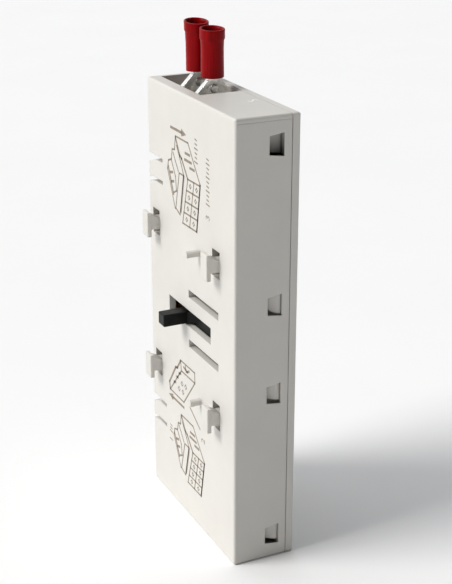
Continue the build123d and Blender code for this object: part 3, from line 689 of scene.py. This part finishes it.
def grid_lines(bm, corners, rows, columns):
    """Rows and columns ruled across a four-cornered panel."""
    a, b, c, d = corners
    for i in range(1, rows):
        stroke(bm, [between(a, d, i / rows), between(b, c, i / rows)], THIN)
    for j in range(1, columns):
        stroke(bm, [between(a, b, j / columns), between(d, c, j / columns)], THIN)


def terminal_dots(bm, corners, rows, columns, size):
    """Small open diamonds at the middle of each cell of a panel."""
    a, b, c, d = corners
    for i in range(rows):
        for j in range(columns):
            left = between(a, d, (i + 0.5) / rows)
            right = between(b, c, (i + 0.5) / rows)
            y, z = between(left, right, (j + 0.5) / columns)
            stroke(bm, [(y - size, z), (y, z + size), (y + size, z), (y, z - size)], FINE, True)


def ticks(bm, y, z0, z1, step=0.85):
    """Row of short marks along Z, every third one longer."""
    for k in range(int((z1 - z0) / step) + 1):
        z = z0 + k * step
        half = (TICK_LONG if k % 3 == 0 else TICK_SHORT) / 2
        stroke(bm, [(y - half, z), (y + half, z + TICK_SLANT)], TICK)


def block_drawing(bm, y, z, tall):
    """Line drawing of a terminal block with a slab clipped to its side.

    (y, z) is the drawing's lower right corner, and tall stretches it along Z."""
    def at(*pairs):
        return [(y + dy, z + dz * tall) for dy, dz in pairs]
    front = at((5.8, 9.3), (0.2, 9.4), (1.9, 0.1), (8.4, 0.0))
    stroke(bm, at((11.4, 16.3), (5.6, 16.3), (0.2, 9.6)))
    stroke(bm, at((11.4, 16.1), (9.4, 13.0), (8.6, 12.6), (5.8, 9.3)), THICK)
    stroke(bm, at((10.9, 14.6), (8.9, 11.6), (7.7, 9.6)), THIN)
    stroke(bm, front, THIN, True)
    grid_lines(bm, front, 4, 2)
    terminal_dots(bm, front, 4, 2, 0.42)
    stroke(bm, at((0.2, 9.6), (1.9, 0.1)), THICK)
    stroke(bm, at((9.8, 9.5), (7.8, 9.5), (9.6, 1.3), (11.6, 2.1)), THIN, True)
    stroke(bm, at((7.6, 9.4), (9.2, 2.0)), HEAVY)
    stroke(bm, at((11.4, 16.3), (11.9, 13.6), (13.0, 13.4), (13.5, 11.3), (14.9, 10.8),
                  (15.4, 9.0), (11.9, 1.9)))
    stroke(bm, at((12.6, 12.8), (10.2, 9.7)), THIN)
    stroke(bm, at((13.5, 11.2), (11.6, 8.4), (11.2, 5.6), (12.4, 5.0)), THIN)
    stroke(bm, at((15.0, 9.6), (12.6, 4.6)), THICK)
    stroke(bm, at((14.1, 8.6), (12.9, 8.9)), THICK)
    stroke(bm, at((13.5, 6.9), (12.4, 7.2)), THICK)
    for start, end, level in ((6.9, 4.8, 14.1), (7.2, 4.1, 12.8), (4.8, 2.8, 11.7)):
        stroke(bm, at((start, level), (end, level)), THICK)


def box_drawing(bm):
    """Line drawing of a plain module with a face panel."""
    face = [(24.4, 31.3), (17.8, 31.3), (23.3, 24.8), (30.2, 24.9)]
    stroke(bm, face, THIN, True)
    stroke(bm, [face[0], (24.7, 33.5), (17.9, 33.5), face[1]], THIN)
    stroke(bm, [(24.7, 33.4), (26.4, 31.2), (27.2, 31.0), (30.5, 26.5), face[3]], THICK)
    stroke(bm, [(23.2, 32.6), (21.4, 32.2), (20.6, 32.7)], THICK)
    stroke(bm, [(22.4, 33.2), (22.0, 31.9)], THIN)
    for y, z in ((26.9, 29.0), (28.2, 27.4), (25.6, 30.3)):
        stroke(bm, [(y, z), (y - 0.9, z + 0.2)], THICK)
    terminal_dots(bm, [(27.4, 26.0), (23.4, 26.0), (20.8, 29.4), (24.2, 29.4)], 2, 2, 0.5)


def number(text, y, z):
    """Printed digit that reads along the long side, its foot towards the front edge."""
    curve = bpy.data.curves.new("digit", "FONT")
    curve.body = text
    curve.size = DIGIT_H * MM
    curve.align_x = "CENTER"
    curve.align_y = "CENTER"
    curve.extrude = INK_HEIGHT
    curve.resolution_u = 4
    obj = bpy.data.objects.new(f"printed_digit_{text}", curve)
    bpy.context.scene.collection.objects.link(obj)
    mesh = bpy.data.meshes.new_from_object(obj)
    bpy.data.objects.remove(obj)
    piece = bpy.data.objects.new(f"printed_digit_{text}", mesh)
    bpy.context.scene.collection.objects.link(piece)
    # text axes: right is +Z and up is +Y, seen from the hook side
    turn = Matrix(((0, 0, -1), (0, 1, 0), (1, 0, 0))).to_4x4()
    mesh.transform(Matrix.Translation((FACE_X, *on_face(y, z))) @ turn)
    mesh.materials.clear()
    mesh.materials.append(INK)
    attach(piece, "housing")


def printing():
    """Generic mounting pictograms: drawings, arrows, rows of ticks and step numbers."""
    bm = bmesh.new()
    block_drawing(bm, 14.4, 62.9, 1.0)
    block_drawing(bm, 13.3, 7.4, 0.86)
    box_drawing(bm)
    arrow(bm, (28.0, 80.5), (20.8, 80.5))
    arrow(bm, (23.3, 23.6), (31.0, 23.6))
    stroke(bm, [(20.3, 25.0), (15.5, 22.3)])
    ticks(bm, 16.4, 76.3, 80.6)
    ticks(bm, 11.3, 69.6, 78.4)
    ticks(bm, 30.0, 15.2, 16.6, 0.7)
    lines = as_object("printed_pictograms", bm, INK)
    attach(lines, "housing")
    number("1", 30.0, 13.4)
    number("2", 14.0, 20.4)
    number("3", 11.3, 67.2)


MARK_X = FACE_X + 8.15 * MM
MARK_Y = FRONT_Y + 11.3 * MM
MARK_LENGTH = 1.9 * MM
MARK_SWING = 0.5 * MM
MARK_WIDTH = 0.5 * MM
MARK_HEIGHT = 0.02 * MM
MARK_STEPS = 16


def top_mark():
    """Small raised wave on the top face."""
    bm = bmesh.new()
    shares = [k / MARK_STEPS for k in range(MARK_STEPS + 1)]
    wave = [(MARK_X + MARK_LENGTH * t, MARK_Y - MARK_SWING * math.sin(2 * math.pi * t))
            for t in shares]
    back = [(x, y + MARK_WIDTH) for x, y in reversed(wave)]
    prism(bm, wave + back, 2, TOP_Z - INK_BITE, TOP_Z + MARK_HEIGHT)
    mark = as_object("raised_wave", bm, WHITE)
    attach(mark, "housing")


# ---------------------------------------------------------------- studio

KEY_ENERGY = 2.4
KEY_ANGLE = math.radians(30)
KEY_COLOUR = (1.0, 0.985, 0.965)
KEY_FROM = Vector((-0.72, 0.14, 0.62))
SKY_COLOUR = (0.965, 0.98, 1.0, 1)

# Ramps of the sky: two components of its direction, then its strength at each of them.
SKY_ALONG_Y = (-0.6, 0.75, 0.13, 1.12)
SKY_ALONG_X = (0.1, 0.9, 1.0, 0.35)

FLOOR_SIZE = 8
CAMERA_PLACE = (-0.10243, -0.21791, 0.14135)
CAMERA_AZIMUTH = math.radians(-25.447)
CAMERA_ELEVATION = math.radians(21.026)
CAMERA_LENS = 81.74
CAMERA_SENSOR = 36
CAMERA_NEAR = 0.01


def sun():
    """Very soft key light, high on the hook side and slightly from behind."""
    data = bpy.data.lights.new("key", "SUN")
    data.energy = KEY_ENERGY
    data.angle = KEY_ANGLE
    data.color = KEY_COLOUR
    obj = bpy.data.objects.new("key", data)
    obj.rotation_euler = KEY_FROM.to_track_quat("Z", "Y").to_euler()
    bpy.context.scene.collection.objects.link(obj)


def sky_ramp(tree, direction, limits):
    """Smooth ramp over one component of the direction, from limits as (from, to, low, high)."""
    ramp = tree.nodes.new("ShaderNodeMapRange")
    ramp.interpolation_type = "SMOOTHSTEP"
    tree.links.new(direction, ramp.inputs["Value"])
    for name, limit in zip(("From Min", "From Max", "To Min", "To Max"), limits):
        ramp.inputs[name].default_value = limit
    return ramp.outputs["Result"]


def surround():
    """World that brightens from the object's front to its back and dims on its cover side."""
    world = bpy.data.worlds.new("surround")
    world.use_nodes = True
    tree = world.node_tree
    direction = tree.nodes.new("ShaderNodeTexCoord").outputs["Generated"]
    split = tree.nodes.new("ShaderNodeSeparateXYZ")
    tree.links.new(direction, split.inputs[0])
    strength = tree.nodes.new("ShaderNodeMath")
    strength.operation = "MULTIPLY"
    tree.links.new(sky_ramp(tree, split.outputs["Y"], SKY_ALONG_Y), strength.inputs[0])
    tree.links.new(sky_ramp(tree, split.outputs["X"], SKY_ALONG_X), strength.inputs[1])
    background = tree.nodes["Background"]
    tree.links.new(strength.outputs[0], background.inputs["Strength"])
    background.inputs["Color"].default_value = SKY_COLOUR
    bpy.context.scene.world = world


def studio():
    """Pale floor, soft key light and the surround."""
    bm = bmesh.new()
    bmesh.ops.create_grid(bm, x_segments=1, y_segments=1, size=FLOOR_SIZE)
    floor = as_object("floor", bm, studio_floor())
    sun()
    surround()
    bpy.context.scene.view_settings.view_transform = "Standard"


def camera():
    """Long lens in front of the object, above it and towards its hook side."""
    back = Vector((math.sin(CAMERA_AZIMUTH) * math.cos(CAMERA_ELEVATION),
                   -math.cos(CAMERA_AZIMUTH) * math.cos(CAMERA_ELEVATION),
                   math.sin(CAMERA_ELEVATION)))
    data = bpy.data.cameras.new("camera")
    data.sensor_width = CAMERA_SENSOR
    data.lens = CAMERA_LENS
    data.clip_start = CAMERA_NEAR
    obj = bpy.data.objects.new("camera", data)
    obj.location = CAMERA_PLACE
    obj.rotation_euler = back.to_track_quat("Z", "Y").to_euler()
    bpy.context.scene.collection.objects.link(obj)
    bpy.context.scene.camera = obj


dress_nodes()
winding()
for place in ("front", "rear"):
    receptacle(place)
    sleeve(place)
printing()
top_mark()
studio()
camera()
